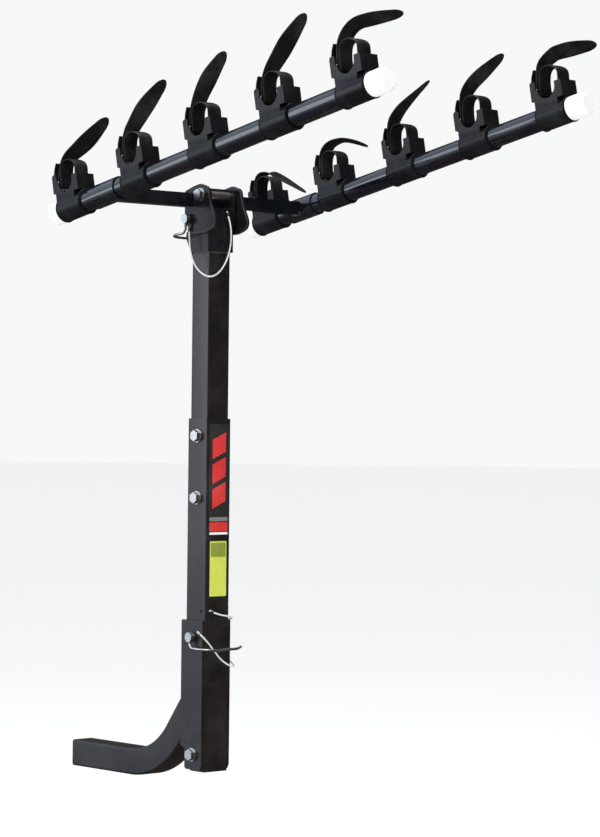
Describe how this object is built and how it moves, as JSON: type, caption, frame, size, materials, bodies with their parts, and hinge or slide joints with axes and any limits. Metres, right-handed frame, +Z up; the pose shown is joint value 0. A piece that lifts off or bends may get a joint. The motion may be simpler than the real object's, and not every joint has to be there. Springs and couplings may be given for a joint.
{
  "type": "hitch mounted bike rack",
  "caption": "Two long tilted arms with strapped cradles on a folding mast with a bent square shank for a vehicle's hitch receiver.",
  "frame": {"origin": "centre of the hitch bolt hole, on the axis of the square shank", "axes": "+Z up, +Y towards the vehicle along the shank, +X to the right when facing the vehicle; the arms reach towards -Y"},
  "size_m": [0.5837, 1.1019, 1.3756],
  "materials": {
    "black_steel": "gloss black powder coat",
    "zinc_steel": "zinc plated",
    "bush_nylon": "satin",
    "white_cap": "satin",
    "black_nylon": "satin",
    "strap_rubber": "matte",
    "cable_cover": "clear sleeve over steel wire"
  },
  "bodies": {
    "hitch_base": {"hitch_shank": "black_steel", "hitch_weld_nut": "zinc_steel", "mast_channel": "black_steel", "tilt_bolt": "zinc_steel", "tilt_nut": "zinc_steel"},
    "mast": {"lower_mast": "black_steel", "upper_mast": "black_steel", "splice_bolts": "zinc_steel", "head_sleeve": "black_steel", "head_gusset": "black_steel", "pivot_bolt": "zinc_steel", "pivot_nut": "zinc_steel", "lower_tether": "cable_cover", "upper_tether": "cable_cover"},
    "arms": {"arm_bracket": "black_steel", "crossbar": "black_steel", "pivot_bushes": "bush_nylon", "arm_left": "black_steel", "arm_right": "black_steel", "arm_sleeve_left": "black_steel", "arm_sleeve_right": "black_steel", "front_caps": "white_cap", "rear_caps": "white_cap", "cradle_screws": "zinc_steel", "cradle_left_1": "black_nylon", "cradle_left_2": "black_nylon", "cradle_left_3": "black_nylon", "cradle_left_4": "black_nylon", "cradle_left_5": "black_nylon", "cradle_right_1": "black_nylon", "cradle_right_2": "black_nylon", "cradle_right_3": "black_nylon", "cradle_right_4": "black_nylon", "cradle_right_5": "black_nylon", "strap_left_1": "strap_rubber", "strap_left_2": "strap_rubber", "strap_left_3": "strap_rubber", "strap_left_4": "strap_rubber", "strap_left_5": "strap_rubber", "strap_right_1": "strap_rubber", "strap_right_2": "strap_rubber", "strap_right_3": "strap_rubber", "strap_right_4": "strap_rubber", "strap_right_5": "strap_rubber"},
    "lower_pin": {"lower_pin": "zinc_steel"},
    "lower_bail": {"lower_bail": "zinc_steel"},
    "upper_pin": {"upper_pin": "zinc_steel"},
    "upper_bail": {"upper_bail": "zinc_steel"},
    "catch_left_1": {"catch_left_1": "black_nylon"},
    "catch_left_2": {"catch_left_2": "black_nylon"},
    "catch_left_3": {"catch_left_3": "black_nylon"},
    "catch_left_4": {"catch_left_4": "black_nylon"},
    "catch_left_5": {"catch_left_5": "black_nylon"},
    "catch_right_1": {"catch_right_1": "black_nylon"},
    "catch_right_2": {"catch_right_2": "black_nylon"},
    "catch_right_3": {"catch_right_3": "black_nylon"},
    "catch_right_4": {"catch_right_4": "black_nylon"},
    "catch_right_5": {"catch_right_5": "black_nylon"}
  },
  "joints": [
    {"name": "mast_tilt", "type": "hinge", "parent": "hitch_base", "child": "mast", "pos_m": [0, -0.317, 0.032], "axis": [1, 0, 0], "range_deg": [0, 70]},
    {"name": "arm_fold", "type": "hinge", "parent": "mast", "child": "arms", "pos_m": [0, -0.334, 1.068], "axis": [1, 0, 0], "range_deg": [0, 100]},
    {"name": "lower_pin_pull", "type": "slide", "parent": "mast", "child": "lower_pin", "axis": [-1, 0, 0], "range_m": [0, 0.1]},
    {"name": "lower_bail_swing", "type": "hinge", "parent": "lower_pin", "child": "lower_bail", "pos_m": [-0.04257, -0.317, 0.25], "axis": [0, 0, -1], "range_deg": [0, 100]},
    {"name": "upper_pin_pull", "type": "slide", "parent": "arms", "child": "upper_pin", "axis": [-1, 0, 0], "range_m": [0, 0.11]},
    {"name": "upper_bail_swing", "type": "hinge", "parent": "upper_pin", "child": "upper_bail", "pos_m": [-0.0505, -0.302, 1.025], "axis": [0, 0, 1], "range_deg": [0, 100]},
    {"name": "catch_left_1_open", "type": "hinge", "parent": "arms", "child": "catch_left_1", "pos_m": [-0.2385, -0.17165, 1.09312], "axis": [-1, 0, 0], "range_deg": [0, 100]},
    {"name": "catch_left_2_open", "type": "hinge", "parent": "arms", "child": "catch_left_2", "pos_m": [-0.2385, -0.35938, 1.13097], "axis": [-1, 0, 0], "range_deg": [0, 100]},
    {"name": "catch_left_3_open", "type": "hinge", "parent": "arms", "child": "catch_left_3", "pos_m": [-0.2385, -0.5471, 1.16883], "axis": [-1, 0, 0], "range_deg": [0, 100]},
    {"name": "catch_left_4_open", "type": "hinge", "parent": "arms", "child": "catch_left_4", "pos_m": [-0.2385, -0.73482, 1.20668], "axis": [-1, 0, 0], "range_deg": [0, 100]},
    {"name": "catch_left_5_open", "type": "hinge", "parent": "arms", "child": "catch_left_5", "pos_m": [-0.2385, -0.92254, 1.24453], "axis": [-1, 0, 0], "range_deg": [0, 100]},
    {"name": "catch_right_1_open", "type": "hinge", "parent": "arms", "child": "catch_right_1", "pos_m": [0.2385, -0.17165, 1.09312], "axis": [-1, 0, 0], "range_deg": [0, 100]},
    {"name": "catch_right_2_open", "type": "hinge", "parent": "arms", "child": "catch_right_2", "pos_m": [0.2385, -0.35938, 1.13097], "axis": [-1, 0, 0], "range_deg": [0, 100]},
    {"name": "catch_right_3_open", "type": "hinge", "parent": "arms", "child": "catch_right_3", "pos_m": [0.2385, -0.5471, 1.16883], "axis": [-1, 0, 0], "range_deg": [0, 100]},
    {"name": "catch_right_4_open", "type": "hinge", "parent": "arms", "child": "catch_right_4", "pos_m": [0.2385, -0.73482, 1.20668], "axis": [-1, 0, 0], "range_deg": [0, 100]},
    {"name": "catch_right_5_open", "type": "hinge", "parent": "arms", "child": "catch_right_5", "pos_m": [0.2385, -0.92254, 1.24453], "axis": [-1, 0, 0], "range_deg": [0, 100]}
  ]
}
